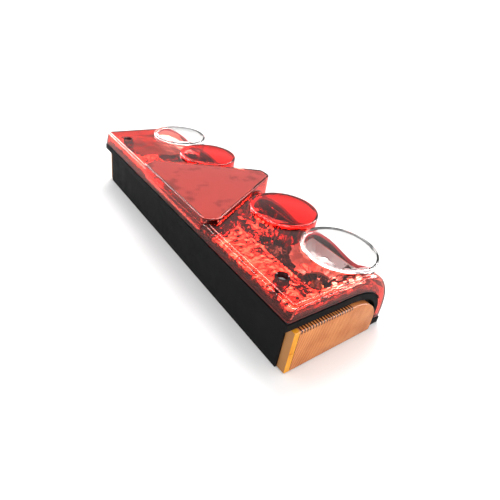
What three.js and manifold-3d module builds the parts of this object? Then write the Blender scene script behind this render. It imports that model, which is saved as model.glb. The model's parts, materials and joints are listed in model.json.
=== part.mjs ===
// Combined rear lamp for a trailer, bulb type, lying on its back with the lens facing up.
// +X runs along the lamp, +Y from its lower long side to its upper long side, +Z out of the lens.
// Heights are measured from the mounting plane, and each y below from the lower long side of the lens.
import * as THREE from 'three';
import { mergeVertices } from 'three/addons/utils/BufferGeometryUtils.js';
import Module from 'manifold-3d';

const wasm = await Module();
wasm.setup();

// ---------------------------------------------------------------- driving dimensions, millimetres
const GAP = 0.3; // clearance left between two pieces that touch

const lamp = { length: 400, width: 137, height: 73.5 }; // the lens alone, without the end plates
const lens = { wall: 2.6, draft: 2.5, edge: 2.5, corner: 5, shoulder: 84, farY: 137, farZ: 9, parting: 58 };
const flange = { top: 2, bottom: 9 }; // depths below the parting surface
const body = { endX: 193.7, nearY: 6, farY: 122, wall: 2.5, floorLow: 4, floorTop: 6.5 };
const cap = { radius: 36.8, wall: 2.4, ledge: 2, rimZ: 77, crown: 3.5, y: 95.4, innerX: 79, outerX: 158.8 };
const triangle = { side: 168, baseY: 0.5, topZ: 79.2, wall: 2.6, cut: 16.5, round: 5 };
const reflexPlate = { low: 74.6, high: 76.2 };
const sideLens = { nearY: 8, farY: 119, low: 0.6, high: 46.5, innerX: 194, outerX: 203.5, wall: 2.6 };
const bulb = { innerX: 79, outerX: 152, y: 88, centreZ: 46.8, glassR: 13.2, baseR: 7.5, baseLow: 9.8 };
const reflector = { plateZ: 64, nearY: 5.6, farY: 128.2, endX: 194.5, midX: 0.5, lowest: 30, skin: 1.6 };
const tray = { nearY: 37, farY: 118.5, midX: 12, endX: 190, round: 14 }; // the sunken part of a reflector
const dish = { floorZ: 33, spread: 217, holeR: 13.8 }; // its floor rises by radius squared over spread
const reflectorPosts = [[22, 25], [115, 25], [184, 28]]; // pillars under each reflector's flat plate
const post = { radius: 3.5, screwRadius: 5.5 };
const rib = { places: [35, 110, 165], half: 0.9, low: 0.8, spineX: 34 }; // stiffening under the floor
const socket = { outerR: 9.3, innerR: 7.9, low: 8, high: 21, pinZ: 15, slot: 2.9, turnDeg: 25, guardR: 11 };
// A shallow well for each cover screw's head, on a hollow tube that stands on a pillar of the housing.
const screwWell = {
  x: 166, y: 20, wellR: 5, floorTop: 66.2, floorLow: 63, tubeR: 6.6, coreR: 3.6, tubeLow: 42, shankR: 2,
};
const mount = { x: 76, y: 40, bossR: 9, bossTop: 16, insertR: 6, insertTop: 13, boreR: 3.4 };
const connector = { y: 45, pocketR: 25, pocketWall: 2.5, roofLow: 22, shellR: 17, shellWall: 2, mouthZ: 2.5 };
const pins = { count: 5, circleR: 8, radius: 1.25, low: 6, high: 29 };
const strip = { z: 7.1, width: 4, thickness: 0.6, groundY: 99.6, groundZ: 17.3 };
const marker = { y: 60, z: 22, holeR: 7.2, holeFrom: 180, holeTo: 196 };
const grommet = { x: 120, y: 110, holeR: 6 };
const vent = { x: 0, y: 112, holeR: 2.8 };

const halfLength = lamp.length / 2;
const ROUND = 24; // segments round a large circle
const SMALL = 14; // segments round a small one
const FINE = 16; // segments along the curve of the parting surface

// ---------------------------------------------------------------- solids from three.js geometry
function solid(geometry) {
  const bare = geometry.index ? geometry.toNonIndexed() : geometry.clone();
  bare.deleteAttribute('normal');
  bare.deleteAttribute('uv');
  const merged = mergeVertices(bare, 1e-3);
  const vertProperties = new Float32Array(merged.attributes.position.array);
  const triVerts = new Uint32Array(merged.index.array);
  const made = new wasm.Manifold(new wasm.Mesh({ numProp: 3, vertProperties, triVerts }));
  if (made.volume() > 0) return made;
  // A profile drawn the other way gives faces that point in: turn each one round.
  for (let i = 1; i < triVerts.length; i += 3) {
    [triVerts[i], triVerts[i + 1]] = [triVerts[i + 1], triVerts[i]];
  }
  return new wasm.Manifold(new wasm.Mesh({ numProp: 3, vertProperties, triVerts }));
}

function toGeometry(made) {
  const mesh = made.getMesh();
  const positions = new Float32Array(mesh.numVert * 3);
  for (let i = 0; i < mesh.numVert; i++) {
    positions.set(mesh.vertProperties.subarray(i * mesh.numProp, i * mesh.numProp + 3), i * 3);
  }
  return new THREE.BufferGeometry()
    .setAttribute('position', new THREE.BufferAttribute(positions, 3))
    .setIndex(new THREE.BufferAttribute(mesh.triVerts, 1));
}

const union = (...parts) => parts.reduce((a, b) => a.add(b));
const without = (whole, ...cuts) => cuts.reduce((a, b) => a.subtract(b), whole);

// The axes that a shape's own x, y and depth become, for a prism along each world axis.
const AXES = {
  x: [new THREE.Vector3(0, 1, 0), new THREE.Vector3(0, 0, 1), new THREE.Vector3(1, 0, 0)],
  y: [new THREE.Vector3(0, 0, 1), new THREE.Vector3(1, 0, 0), new THREE.Vector3(0, 1, 0)],
  z: [new THREE.Vector3(1, 0, 0), new THREE.Vector3(0, 1, 0), new THREE.Vector3(0, 0, 1)],
};

// A shape extruded between two planes along an axis. An x prism's shape is in (y, z), a y prism's in (z, x).
function prism(axis, shape, from, to, curveSegments = 8) {
  const geometry = new THREE.ExtrudeGeometry(shape, { depth: to - from, bevelEnabled: false, curveSegments });
  geometry.translate(0, 0, from);
  geometry.applyMatrix4(new THREE.Matrix4().makeBasis(...AXES[axis]));
  return solid(geometry);
}

function box(x0, x1, y0, y1, z0, z1) {
  const geometry = new THREE.BoxGeometry(x1 - x0, y1 - y0, z1 - z0);
  geometry.translate((x0 + x1) / 2, (y0 + y1) / 2, (z0 + z1) / 2);
  return solid(geometry);
}

// A profile of [radius, z] points turned about the upright line through (x, y).
function turned(profile, x, y, segments = ROUND) {
  const geometry = new THREE.LatheGeometry(profile.map(([r, z]) => new THREE.Vector2(r, z)), segments);
  geometry.rotateX(Math.PI / 2);
  geometry.translate(x, y, 0);
  return solid(geometry);
}

const cylinder = (radius, x, y, z0, z1, segments = SMALL) =>
  turned([[0, z0], [radius, z0], [radius, z1], [0, z1]], x, y, segments);

const ring = (inner, outer, x, y, z0, z1, segments = SMALL) =>
  turned([[inner, z0], [outer, z0], [outer, z1], [inner, z1], [inner, z0]], x, y, segments);

// The same turned profile, laid along X: z in the profile becomes the distance from the lamp's middle.
function turnedAlongX(profile, side, y, z, segments = SMALL) {
  const geometry = new THREE.LatheGeometry(profile.map(([r, x]) => new THREE.Vector2(r, x)), segments);
  geometry.rotateZ(-side * Math.PI / 2);
  geometry.translate(0, y, z);
  return solid(geometry);
}

// The two ends along X, lowest first, of a stretch given for the right half.
const spanX = (side, a, b) => [side * a, side * b].sort((p, q) => p - q);

function outline(points) {
  const shape = new THREE.Shape();
  points.forEach(([u, v], i) => (i ? shape.lineTo(u, v) : shape.moveTo(u, v)));
  shape.closePath();
  return shape;
}

// ---------------------------------------------------------------- shared cross-sections, in (y, z)
// The lens's outer section, moved in by inset: lower wall, flat front, then a long curve over the upper side.
function lensSection(inset) {
  const top = lamp.height - inset;
  const wallTop = inset + lens.draft;
  const shape = new THREE.Shape();
  shape.moveTo(inset, 0);
  shape.lineTo(inset, lens.parting);
  shape.lineTo(wallTop, top - lens.edge);
  shape.quadraticCurveTo(wallTop, top, wallTop + lens.edge, top);
  shape.lineTo(lens.shoulder, top);
  shape.bezierCurveTo(110, top, lens.farY - inset, 52 - inset / 2, lens.farY - inset, 15);
  shape.lineTo(lens.farY - inset, 0);
  shape.closePath();
  return shape;
}

// Everything under the surface where the lens meets the housing, lowered by depth.
function underParting(depth) {
  const farY = 127 - 0.6 * depth;
  const shape = new THREE.Shape();
  shape.moveTo(-10, -10);
  shape.lineTo(-10, lens.parting - depth);
  shape.lineTo(78, 56.5 - depth);
  shape.bezierCurveTo(104 - 0.2 * depth, 55.5 - depth, farY, 44 - 0.8 * depth, farY, 18);
  shape.lineTo(farY, lens.farZ - depth);
  shape.lineTo(150, lens.farZ - depth);
  shape.lineTo(150, -10);
  shape.closePath();
  return shape;
}

// The end plate's outline: straight sides and one round upper corner, moved in by inset.
function sideSection(inset) {
  const farY = sideLens.farY - inset;
  const high = sideLens.high - inset;
  const shape = new THREE.Shape();
  shape.moveTo(sideLens.nearY + inset, sideLens.low + inset);
  shape.lineTo(sideLens.nearY + inset, high);
  shape.lineTo(80, high - 1);
  shape.bezierCurveTo(100, high - 1.5, farY - 1, 33, farY - 0.5, 16);
  shape.lineTo(farY, sideLens.low + inset);
  shape.closePath();
  return shape;
}

// The reflector's outer face, lowered by depth, down to its lower edge.
function reflectorSection(depth) {
  const shape = new THREE.Shape();
  shape.moveTo(reflector.nearY + depth, -10);
  shape.lineTo(reflector.nearY + depth, reflector.plateZ - depth);
  shape.lineTo(80, reflector.plateZ - depth);
  shape.bezierCurveTo(104, reflector.plateZ - depth, reflector.farY - depth, 50, reflector.farY - depth, 26);
  shape.lineTo(reflector.farY - depth, -10);
  shape.closePath();
  return shape;
}

// ---------------------------------------------------------------- the lens and what is welded to it
function lensBlock(inset) {
  const half = halfLength - inset;
  const top = lamp.height - inset;
  const section = prism('x', lensSection(inset), -half, half);
  const taper = prism('y', outline([
    [0, -half], [lens.parting, -half], [top, lens.draft - half],
    [top, half - lens.draft], [lens.parting, half], [0, half],
  ]), -20, 160);
  const r = Math.max(lens.corner - inset, 1);
  const plan = new THREE.Shape();
  plan.moveTo(-half, inset + r);
  plan.quadraticCurveTo(-half, inset, -half + r, inset);
  plan.lineTo(half - r, inset);
  plan.quadraticCurveTo(half, inset, half, inset + r);
  plan.lineTo(half, lens.farY - inset - r);
  plan.quadraticCurveTo(half, lens.farY - inset, half - r, lens.farY - inset);
  plan.lineTo(-half + r, lens.farY - inset);
  plan.quadraticCurveTo(-half, lens.farY - inset, -half, lens.farY - inset - r);
  return section.intersect(taper).intersect(prism('z', plan, -1, lamp.height + 1, 4));
}

const capPlaces = [
  { name: 'lens_cap_left_outer', x: -cap.outerX },
  { name: 'lens_cap_left_inner', x: -cap.innerX },
  { name: 'lens_cap_right_inner', x: cap.innerX },
  { name: 'lens_cap_right_outer', x: cap.outerX },
];

const overLens = prism('x', lensSection(-GAP), -halfLength - 5, halfLength + 5);

function lensShell() {
  let shell = without(lensBlock(0), lensBlock(lens.wall));
  for (const side of [-1, 1]) {
    const x = side * screwWell.x;
    shell = shell.add(cylinder(screwWell.tubeR, x, screwWell.y, screwWell.tubeLow, lamp.height - 1));
    shell = without(
      shell,
      cylinder(screwWell.wellR, x, screwWell.y, screwWell.floorTop, lamp.height + 1, ROUND),
      cylinder(screwWell.coreR, x, screwWell.y, screwWell.tubeLow - 1, screwWell.floorLow),
      cylinder(screwWell.shankR + 0.4, x, screwWell.y, screwWell.floorLow - 1, screwWell.floorTop + 1),
    );
  }
  // The tubes reach below the parting surface, so only the shell's own walls are trimmed by it.
  const tubes = union(...[-1, 1].map((side) =>
    cylinder(screwWell.tubeR + 0.1, side * screwWell.x, screwWell.y, 0, lens.parting + 5)));
  shell = shell.subtract(prism('x', underParting(0), -halfLength - 5, halfLength + 5, FINE).subtract(tubes));
  const holeR = cap.radius - cap.wall - cap.ledge;
  for (const place of capPlaces) {
    shell = shell.subtract(cylinder(holeR, place.x, cap.y, 8, lamp.height + 1, ROUND));
  }
  return shell;
}

function lensCap(x) {
  const { radius, wall, rimZ, crown } = cap;
  const inner = radius - wall;
  const low = 30;
  const blank = turned([
    [radius, low], [radius, rimZ - 1.2], [radius - 1.6, rimZ],
    [radius * 0.55, rimZ + crown * 0.7], [0, rimZ + crown],
    [0, rimZ + crown - wall], [radius * 0.55, rimZ + crown * 0.7 - wall],
    [inner, rimZ - wall], [inner, low], [radius, low],
  ], x, cap.y);
  return blank.subtract(overLens);
}

// The reflex triangle's outline: equal sides, each corner cut off and rounded, moved in by inset.
function triangleOutline(inset) {
  const { side, baseY, cut, round } = triangle;
  const centre = new THREE.Vector2(0, baseY + side / (2 * Math.sqrt(3)));
  const shrink = 1 - (inset * 2 * Math.sqrt(3)) / side;
  const corners = [[-side / 2, baseY], [side / 2, baseY], [0, baseY + (side * Math.sqrt(3)) / 2]]
    .map(([x, y]) => new THREE.Vector2(x, y).sub(centre).multiplyScalar(shrink).add(centre));
  const toward = (a, b, distance) => b.clone().sub(a).setLength(distance).add(a);
  const trimmed = corners.flatMap((corner, i) => {
    const before = corners[(i + 2) % 3];
    const after = corners[(i + 1) % 3];
    const off = Math.max(cut - inset * 1.2, 4);
    return [toward(corner, before, off), toward(corner, after, off)];
  });
  const shape = new THREE.Shape();
  const r = Math.max(round - inset, 1.5);
  trimmed.forEach((point, i) => {
    const start = toward(point, trimmed[(i + 5) % 6], r);
    const end = toward(point, trimmed[(i + 1) % 6], r);
    if (i) shape.lineTo(start.x, start.y);
    else shape.moveTo(start.x, start.y);
    shape.quadraticCurveTo(point.x, point.y, end.x, end.y);
  });
  shape.closePath();
  return shape;
}

function triangleCap() {
  return without(
    prism('z', triangleOutline(0), 20, triangle.topZ, 3),
    prism('z', triangleOutline(triangle.wall), 10, triangle.topZ - triangle.wall, 3),
    overLens,
  );
}

// The field of reflex prisms, held just under the triangle's roof.
const reflexPlateSolid = () =>
  prism('z', triangleOutline(triangle.wall + 0.6), reflexPlate.low, reflexPlate.high, 3);

// ---------------------------------------------------------------- reflectors
// One metallised insert for each half of the lamp: a plate under the lens, sunk into a tray behind its
// lower edge. The tray's floor is two shallow dishes, one round each bulb, that meet in a low ridge.
function dishSolid(x, skin) {
  const points = [[0, dish.floorZ - skin]];
  for (let r = 12; r <= 84; r += 12) {
    points.push([r + skin * 0.4, dish.floorZ - skin + (r * r) / dish.spread]);
  }
  points.push([points.at(-1)[0], reflector.plateZ + 10], [0, reflector.plateZ + 10]);
  return turned(points, x, bulb.y);
}

// The tray's upright walls, as a rounded block moved in by inset.
function trayBlock(side, inset) {
  const [x0, x1] = spanX(side, tray.midX + inset, tray.endX - inset);
  const [y0, y1] = [tray.nearY + inset, tray.farY - inset];
  const r = tray.round - inset;
  const plan = new THREE.Shape();
  plan.moveTo(x0 + r, y0);
  plan.lineTo(x1 - r, y0);
  plan.quadraticCurveTo(x1, y0, x1, y0 + r);
  plan.lineTo(x1, y1 - r);
  plan.quadraticCurveTo(x1, y1, x1 - r, y1);
  plan.lineTo(x0 + r, y1);
  plan.quadraticCurveTo(x0, y1, x0, y1 - r);
  plan.lineTo(x0, y0 + r);
  plan.quadraticCurveTo(x0, y0, x0 + r, y0);
  return prism('z', plan, 10, reflector.plateZ + 5, 4);
}

function reflectorInsert(side) {
  const { skin, midX, endX, lowest } = reflector;
  const [x0, x1] = spanX(side, midX, endX);
  const block = prism('x', reflectorSection(0), x0, x1);
  const hollow = prism('x', reflectorSection(skin), x0 - 1, x1 + 1);
  const places = [side * bulb.innerX, side * bulb.outerX];
  const underside = union(...places.map((x) => dishSolid(x, skin)));
  const face = union(...places.map((x) => dishSolid(x, 0)));
  const holes = places.map((x) => cylinder(dish.holeR, x, bulb.y, 20, 60, ROUND));
  return without(
    union(block.subtract(hollow), underside.intersect(block).intersect(trayBlock(side, 0))),
    face.intersect(trayBlock(side, skin)),
    ...holes,
    cylinder(screwWell.tubeR + 1, side * screwWell.x, screwWell.y, 20, 80),
    box(-210, 210, -10, tray.nearY - 2, -20, lens.parting + 0.4),
    box(-210, 210, tray.farY + 0.1, 150, -20, lowest),
  );
}

// ---------------------------------------------------------------- housing
function rearHousing() {
  const top = prism('x', underParting(flange.top), -300, 300, FINE);
  const core = box(-body.endX, body.endX, body.nearY, body.farY, 0, 70).intersect(top);
  const lip = without(
    box(-halfLength, halfLength, 0, lamp.width, 0, 70).intersect(top),
    prism('x', underParting(flange.bottom), -300, 300, FINE),
  );
  const insideX = body.endX - body.wall;
  const insideNear = body.nearY + body.wall;
  const insideFar = body.farY - body.wall;
  let shell = without(
    union(core, lip),
    box(-insideX, insideX, insideNear, insideFar, body.floorTop, 80),
    box(-insideX, insideX, insideNear, insideFar, -1, body.floorLow),
  );
  const pocketOuter = connector.pocketR + connector.pocketWall;
  const ribTop = body.floorLow + 0.5;
  const ribs = [-1, 1].flatMap((side) => rib.places.map((x) =>
    box(side * x - rib.half, side * x + rib.half, insideNear - 0.5, insideFar + 0.5, rib.low, ribTop)));
  const spines = [-1, 1].map((side) =>
    box(...spanX(side, rib.spineX, insideX + 0.5), bulb.y - rib.half, bulb.y + rib.half, rib.low, ribTop));
  const postTop = reflector.plateZ - reflector.skin - GAP;
  const bosses = [-1, 1].flatMap((side) => [
    cylinder(mount.bossR, side * mount.x, mount.y, 0, mount.bossTop, 16),
    ...reflectorPosts.map(([x, y]) => cylinder(post.radius, side * x, y, body.floorTop - 1, postTop, 10)),
    cylinder(post.screwRadius, side * screwWell.x, screwWell.y, body.floorTop - 1, screwWell.tubeLow - 3),
  ]);
  const rings = bulbPlaces.map((place) =>
    ring(socket.outerR + GAP, socket.guardR, place.x, bulb.y, body.floorTop - 1, 16, 16));
  shell = union(
    shell, ...ribs, ...spines, ...bosses, ...rings,
    cylinder(pocketOuter, 0, connector.y, 0, connector.roofLow + connector.pocketWall, ROUND),
  );
  const pinHoles = pinPlaces.map(([x, y]) => cylinder(pins.radius + 0.3, x, y, 15, 40, 8));
  const { holeR, holeFrom, holeTo } = marker;
  const markerHole = [[0, holeFrom], [holeR, holeFrom], [holeR, holeTo], [0, holeTo]];
  const notches = [-1, 1].flatMap((side) => [
    box(...spanX(side, 60, bulb.innerX), bulb.y - 3, bulb.y + 3, body.floorTop, 8.5),
    box(side * bulb.outerX - 3, side * bulb.outerX + 3, 70, bulb.y, body.floorTop, 8.5),
  ]);
  return without(
    shell,
    cylinder(connector.pocketR, 0, connector.y, -1, connector.roofLow, ROUND),
    ...pinHoles,
    ...notches,
    ...[-1, 1].flatMap((side) => [
      cylinder(mount.insertR + GAP, side * mount.x, mount.y, -1, mount.insertTop + GAP, 16),
      cylinder(screwWell.shankR + 0.4, side * screwWell.x, screwWell.y, 10, 60, 12),
      cylinder(grommet.holeR, side * grommet.x, grommet.y, 0, 10),
      turnedAlongX(markerHole, side, marker.y, marker.z),
    ]),
    cylinder(vent.holeR, vent.x, vent.y, 0, 10, 12),
  );
}

// A flat seal on the housing's lip, a little smaller than the lens outside and open over the body.
function lensGasket() {
  const endX = halfLength - 1.2;
  return without(
    box(-endX, endX, 1.2, lamp.width - 0.2, 0, 70).intersect(prism('x', underParting(GAP), -300, 300, FINE)),
    prism('x', underParting(flange.top - GAP), -300, 300, FINE),
    box(-body.endX - 0.1, body.endX + 0.1, body.nearY, 131, -5, 80),
  );
}

function mountingInsert(x) {
  return without(
    cylinder(mount.insertR, x, mount.y, 0.3, mount.insertTop, 16),
    cylinder(mount.boreR, x, mount.y, -1, mount.insertTop - 1.5, 12),
  );
}

// ---------------------------------------------------------------- end plates and their marker bulbs
function endLens(side) {
  const { innerX, outerX, wall } = sideLens;
  return without(
    prism('x', sideSection(0), ...spanX(side, innerX, outerX)),
    prism('x', sideSection(wall), ...spanX(side, innerX - 1, outerX - wall)),
  );
}

function markerHolder(side) {
  return turnedAlongX([
    [4.9, 178], [7.5, 178], [7.5, 188.6], [9.5, 188.6], [9.5, 190.9],
    [6.9, 190.9], [6.9, 193.5], [4.9, 193.5], [4.9, 178],
  ], side, marker.y, marker.z);
}

function markerBulb(side) {
  return turnedAlongX([
    [0, 180], [3.2, 180], [3.2, 184], [4.6, 187], [4.6, 194.5], [3.4, 197.3], [1.4, 198.6], [0, 198.8],
  ], side, marker.y, marker.z);
}

// ---------------------------------------------------------------- bulbs and sockets
const bulbPlaces = [
  { name: 'left_outer', x: -bulb.outerX },
  { name: 'left_inner', x: -bulb.innerX },
  { name: 'right_inner', x: bulb.innerX },
  { name: 'right_outer', x: bulb.outerX },
];

// Open at the neck. The wall follows a sphere at the top and narrows to the neck.
function bulbGlass(x) {
  const wall = 0.8;
  const outer = [[6.5, 23.5], [6.5, 29], [11, 37.5]];
  for (let deg = 0; deg <= 90; deg += 30) {
    const a = THREE.MathUtils.degToRad(deg);
    outer.push([bulb.glassR * Math.cos(a), bulb.centreZ + bulb.glassR * Math.sin(a)]);
  }
  outer[outer.length - 1][0] = 0;
  const lowered = (z) => Math.min(z, z - (wall * (z - bulb.centreZ)) / bulb.glassR);
  const inner = outer.map(([r, z]) => [Math.max(r - wall, 0), lowered(z)]);
  return turned([...outer, ...inner.reverse(), outer[0]], x, bulb.y, SMALL);
}

function bulbBase(x) {
  const pinBar = new THREE.CylinderGeometry(1, 1, 17.4, 8);
  pinBar.rotateZ(Math.PI / 2);
  pinBar.translate(x, bulb.y, socket.pinZ);
  const shell = turned([
    [0, 8.6], [3, 8.6], [3.4, bulb.baseLow], [bulb.baseR, bulb.baseLow + 1],
    [bulb.baseR, 27], [6.8, 27], [6.8, 22], [0, 22],
  ], x, bulb.y, SMALL);
  return union(shell, solid(pinBar));
}

// A glass stem carries two bent support wires with the coil between their tips.
function bulbFilament(x) {
  const spread = 4.2;
  const wire = (sideways) => {
    const geometry = new THREE.CylinderGeometry(0.35, 0.35, 13, 5);
    geometry.rotateX(Math.PI / 2);
    geometry.rotateY(sideways * 0.24);
    geometry.translate(x + sideways * (spread - 1.55), bulb.y, bulb.centreZ - 6.2);
    return solid(geometry);
  };
  const coil = new THREE.CylinderGeometry(0.6, 0.6, spread * 2, 6);
  coil.rotateZ(Math.PI / 2);
  coil.translate(x, bulb.y, bulb.centreZ);
  return union(
    turned([[0, 22.5], [3.4, 22.5], [2, 27], [1.8, 35.5], [0, 36]], x, bulb.y, 8),
    wire(-1), wire(1), solid(coil),
  );
}

// Bayonet holder: each pin drops down an entry slot, then turns back under the rim to its locked place.
function bulbSocket(x) {
  const { outerR, innerR, low, high, pinZ, turnDeg } = socket;
  const cup = turned([
    [4, low], [outerR, low], [outerR, high - 1], [outerR + 1.7, high - 1], [outerR + 1.7, high],
    [innerR, high], [innerR, low + 1], [4, low + 1], [4, low],
  ], x, bulb.y, 16);
  const slot = (deg, z1) => {
    const geometry = new THREE.BoxGeometry(26, socket.slot, z1 - pinZ + 1.5);
    geometry.translate(0, 0, (z1 + pinZ - 1.5) / 2);
    geometry.rotateZ(THREE.MathUtils.degToRad(deg));
    geometry.translate(x, bulb.y, 0);
    return solid(geometry);
  };
  const turns = [0, 8, 16].map((deg) => slot(deg, pinZ + 1.5));
  return without(cup, slot(turnDeg, high + 1), ...turns);
}

const contactSpring = (x) =>
  turned([[0, 7.7], [2.9, 7.7], [2.2, 8.1], [0, 8.3]], x, bulb.y, 10);

// ---------------------------------------------------------------- wiring strips and the plug connector
// A flat metal strip through axis-aligned corners; each run is a box that overlaps the next at the corner.
function metalStrip(corners) {
  const w = strip.width / 2;
  const t = strip.thickness / 2;
  const runs = corners.slice(1).map((end, i) => {
    const start = corners[i];
    const upright = start[2] !== end[2];
    const pad = upright ? [w, t, t] : [w, w, t];
    const low = start.map((v, k) => Math.min(v, end[k]) - pad[k]);
    const high = start.map((v, k) => Math.max(v, end[k]) + pad[k]);
    return box(low[0], high[0], low[1], high[1], low[2], high[2]);
  });
  return union(...runs);
}

const pinPlaces = Array.from({ length: pins.count }, (_, i) => {
  const angle = (Math.PI * 2 * i) / pins.count + Math.PI / 2;
  return [pins.circleR * Math.cos(angle), connector.y + pins.circleR * Math.sin(angle)];
});

// Each feed leaves a pin's tip, crosses the pocket's roof, drops behind it and runs along the floor to a
// socket.
const overRoof = pins.high + 0.6;
const dropY = connector.y + connector.pocketR + connector.pocketWall + 2.3;
function feedStrip(side, pinX, socketX, laneY) {
  const drop = side * pinX;
  return metalStrip([
    [drop, connector.y + 4, overRoof], [drop, dropY, overRoof], [drop, dropY, strip.z],
    [drop, laneY, strip.z], [side * socketX, laneY, strip.z], [side * socketX, bulb.y, strip.z],
  ]);
}

function groundStrip() {
  const { groundY, groundZ, thickness } = strip;
  const rail = box(
    -bulb.outerX, bulb.outerX, groundY - 2, groundY + 2, groundZ - thickness / 2, groundZ + thickness / 2,
  );
  const drop = metalStrip([
    [0, connector.y + 14, overRoof], [0, dropY, overRoof], [0, dropY, groundZ], [0, groundY, groundZ],
  ]);
  return union(rail, drop);
}

function connectorShell() {
  const { shellR, shellWall, mouthZ, y } = connector;
  const bore = shellR - shellWall;
  const cup = turned([
    [0, 16], [bore, 16], [bore, mouthZ], [shellR, mouthZ], [shellR, 19], [19.5, 19], [19.5, 21.2], [0, 21.2],
  ], 0, y);
  const lugs = [30, 150, 270].map((deg) => {
    const geometry = new THREE.BoxGeometry(3, 4, 3);
    geometry.translate(shellR, 0, 8);
    geometry.rotateZ(THREE.MathUtils.degToRad(deg));
    geometry.translate(0, y, 0);
    return solid(geometry);
  });
  const holes = pinPlaces.map(([px, py]) => cylinder(pins.radius + 0.3, px, py, 10, 25, 8));
  return without(union(cup, ...lugs), ...holes);
}

const connectorPin = ([x, y]) => turned([
  [0, pins.low], [0.7, pins.low], [pins.radius, pins.low + 1.2], [pins.radius, pins.high], [0, pins.high],
], x, y, 8);

// ---------------------------------------------------------------- small fittings
function coverScrew(x) {
  const { y, floorTop, shankR } = screwWell;
  const seat = floorTop + GAP;
  const blank = turned([
    [0, 14], [1.2, 14], [shankR, 16], [shankR, seat],
    [4, seat], [4, seat + 1.8], [2.8, seat + 2.9], [0, seat + 3.2],
  ], x, y, SMALL);
  const recess = [0, 90].map((deg) => {
    const geometry = new THREE.BoxGeometry(4.4, 0.9, 3);
    geometry.rotateZ(THREE.MathUtils.degToRad(deg));
    geometry.translate(x, y, seat + 3.2);
    return solid(geometry);
  });
  return without(blank, ...recess);
}

const screwSeal = (x) => ring(2.7, 5, x, screwWell.y, screwWell.tubeLow - 3 + GAP, screwWell.tubeLow - GAP);

const cableGrommet = (x) => turned([
  [0, 1.8], [6.5, 1.8], [8.5, 2.6], [8.5, 3.7], [5.7, 3.7], [5.7, 6.8], [7.4, 6.8], [6.4, 8.4], [0, 8.4],
], x, grommet.y, SMALL);

const ventCap = () => turned([
  [0, 1.4], [4.2, 1.4], [5, 2.2], [5, 3.7], [2.5, 3.7], [2.5, 8], [0, 8],
], vent.x, vent.y, 12);

// ---------------------------------------------------------------- materials
const finish = (color, roughness, metalness, opacity = 1) =>
  new THREE.MeshStandardMaterial({ color, roughness, metalness, opacity, transparent: opacity < 1 });

const blackPlastic = finish(0x1b1b1d, 0.45, 0);
const redPlastic = finish(0xc4121f, 0.08, 0, 0.6);
const clearPlastic = finish(0xf2f6f8, 0.05, 0, 0.3);
const amberPlastic = finish(0xe07a2c, 0.15, 0, 0.75);
const chrome = finish(0xd8dadc, 0.1, 1);
const rubber = finish(0x121212, 0.8, 0);
const glass = finish(0xf4f6f6, 0.03, 0, 0.3);
const brass = finish(0xb99a52, 0.3, 1);
const steel = finish(0xb4b7ba, 0.25, 1);

// ---------------------------------------------------------------- assembly
const assembly = new THREE.Group();
assembly.position.y = -lamp.width / 2; // puts the origin under the middle of the lamp

function place(name, made, material) {
  const mesh = new THREE.Mesh(toGeometry(made), material);
  mesh.name = name;
  assembly.add(mesh);
}

place('rear_housing', rearHousing(), blackPlastic);
place('lens_gasket', lensGasket(), rubber);
place('lens', lensShell(), redPlastic);
for (const { name, x } of capPlaces) {
  place(name, lensCap(x), name.endsWith('outer') ? clearPlastic : redPlastic);
}
place('triangle_cap', triangleCap(), redPlastic);
place('triangle_reflex_plate', reflexPlateSolid(), redPlastic);

for (const [word, side] of [['left', -1], ['right', 1]]) {
  place(`side_lens_${word}`, endLens(side), amberPlastic);
  place(`marker_bulb_${word}`, markerBulb(side), glass);
  place(`marker_holder_${word}`, markerHolder(side), blackPlastic);
  place(`reflector_${word}`, reflectorInsert(side), chrome);
  place(`mounting_insert_${word}`, mountingInsert(side * mount.x), steel);
  place(`cover_screw_${word}`, coverScrew(side * screwWell.x), steel);
  place(`screw_seal_${word}`, screwSeal(side * screwWell.x), rubber);
  place(`cable_grommet_${word}`, cableGrommet(side * grommet.x), rubber);
  place(`feed_strip_${word}_inner`, feedStrip(side, 6, bulb.innerX, bulb.y), brass);
  place(`feed_strip_${word}_outer`, feedStrip(side, 13, bulb.outerX, dropY), brass);
}

for (const { name, x } of bulbPlaces) {
  place(`bulb_socket_${name}`, bulbSocket(x), steel);
  place(`contact_spring_${name}`, contactSpring(x), brass);
  place(`bulb_base_${name}`, bulbBase(x), brass);
  place(`bulb_glass_${name}`, bulbGlass(x), glass);
  place(`bulb_filament_${name}`, bulbFilament(x), steel);
}

place('ground_strip', groundStrip(), brass);
place('connector_shell', connectorShell(), blackPlastic);
place('connector_seal', ring(15, 18, 0, connector.y, 21.4, 21.8, ROUND), rubber);
pinPlaces.forEach((at, i) => place(`connector_pin_${i + 1}`, connectorPin(at), brass));
place('vent_cap', ventCap(), blackPlastic);

const part = new THREE.Group();
part.add(assembly);
export default part;
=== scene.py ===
import json
import math
import random

import bmesh
import bpy
from mathutils import Matrix, Vector


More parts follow.
